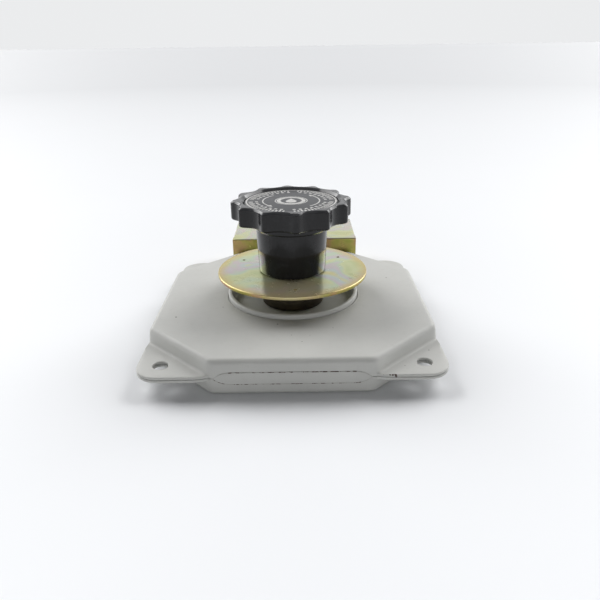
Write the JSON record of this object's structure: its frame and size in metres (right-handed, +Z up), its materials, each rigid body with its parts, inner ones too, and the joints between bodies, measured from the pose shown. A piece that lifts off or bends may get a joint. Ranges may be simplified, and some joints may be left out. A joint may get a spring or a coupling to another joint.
{
  "type": "hydraulic reservoir",
  "caption": "Shallow pressed-steel oil reservoir with corner ears, a spill dish, a raised filler neck under a drip disc, a screw-on lobed breather cap and a rear bracket.",
  "frame": {"origin": "centre of the lower shell's flat bottom, on the surface the tank rests on", "axes": "+Z up along the filler neck, -Y to the front, +Y to the rear bracket, +X to the right"},
  "size_m": [0.18, 0.2448, 0.0891],
  "materials": {
    "body_paint": "light grey satin paint, chipped at the edges",
    "yellow_zinc": "yellow-chromate zinc plating, iridescent",
    "plain_steel": "oiled plain steel",
    "brass": "turned brass",
    "knob_plastic": "gloss black moulded plastic",
    "label_plastic": null,
    "rubber": "nitrile rubber",
    "filter_foam": "open-cell foam"
  },
  "bodies": {
    "tank": {"upper_shell": "body_paint", "lower_shell": "body_paint", "seam_strip_front": "body_paint", "seam_strip_right": "body_paint", "seam_strip_back": "body_paint", "seam_strip_left": "body_paint", "suction_boss": "plain_steel", "return_boss": "plain_steel", "drain_boss": "plain_steel", "drain_plug": "plain_steel", "baffle_plate": "plain_steel", "spill_dish": "body_paint", "neck_gasket": "rubber", "filler_neck": "yellow_zinc", "neck_hub": "yellow_zinc", "neck_spacer": "yellow_zinc", "drip_disc": "yellow_zinc", "ring_nut": "plain_steel", "strainer_basket": "plain_steel", "rear_bracket": "yellow_zinc"},
    "seal_plate": {"seal_plate": "plain_steel", "cap_gasket": "rubber", "valve_cage": "brass", "dipstick": "plain_steel", "relief_spring": "plain_steel"},
    "cap": {"cap_knob": "knob_plastic", "cap_label": "label_plastic", "breather_foam": "filter_foam", "thread_insert": "brass", "swivel_rivet": "plain_steel"},
    "relief_valve": {"relief_poppet": "brass", "vacuum_spring": "plain_steel"},
    "vacuum_valve": {"vacuum_poppet": "brass", "vacuum_clip": "plain_steel"}
  },
  "joints": [
    {"name": "cap_rise", "type": "slide", "parent": "tank", "child": "seal_plate", "axis": [0, 0, 1], "range_m": [0, 0.01]},
    {"name": "cap_turn", "type": "hinge", "parent": "seal_plate", "child": "cap", "pos_m": [0, 0.0047, 0.0779], "axis": [0, 0, 1], "range_deg": [0, 900]},
    {"name": "relief_lift", "type": "slide", "parent": "seal_plate", "child": "relief_valve", "axis": [0, 0, 1], "range_m": [0, 0.002], "stiffness_N_per_m": 150, "springref_m": -0.008, "deforming": ["relief_spring"]},
    {"name": "vacuum_drop", "type": "slide", "parent": "relief_valve", "child": "vacuum_valve", "axis": [0, 0, -1], "range_m": [0, 0.0015], "stiffness_N_per_m": 60, "springref_m": -0.004, "deforming": ["vacuum_spring"]}
  ],
  "couplings": [
    {"joint": "cap_rise", "follows": "cap_turn", "m_per_rad": 0.0006366}
  ]
}
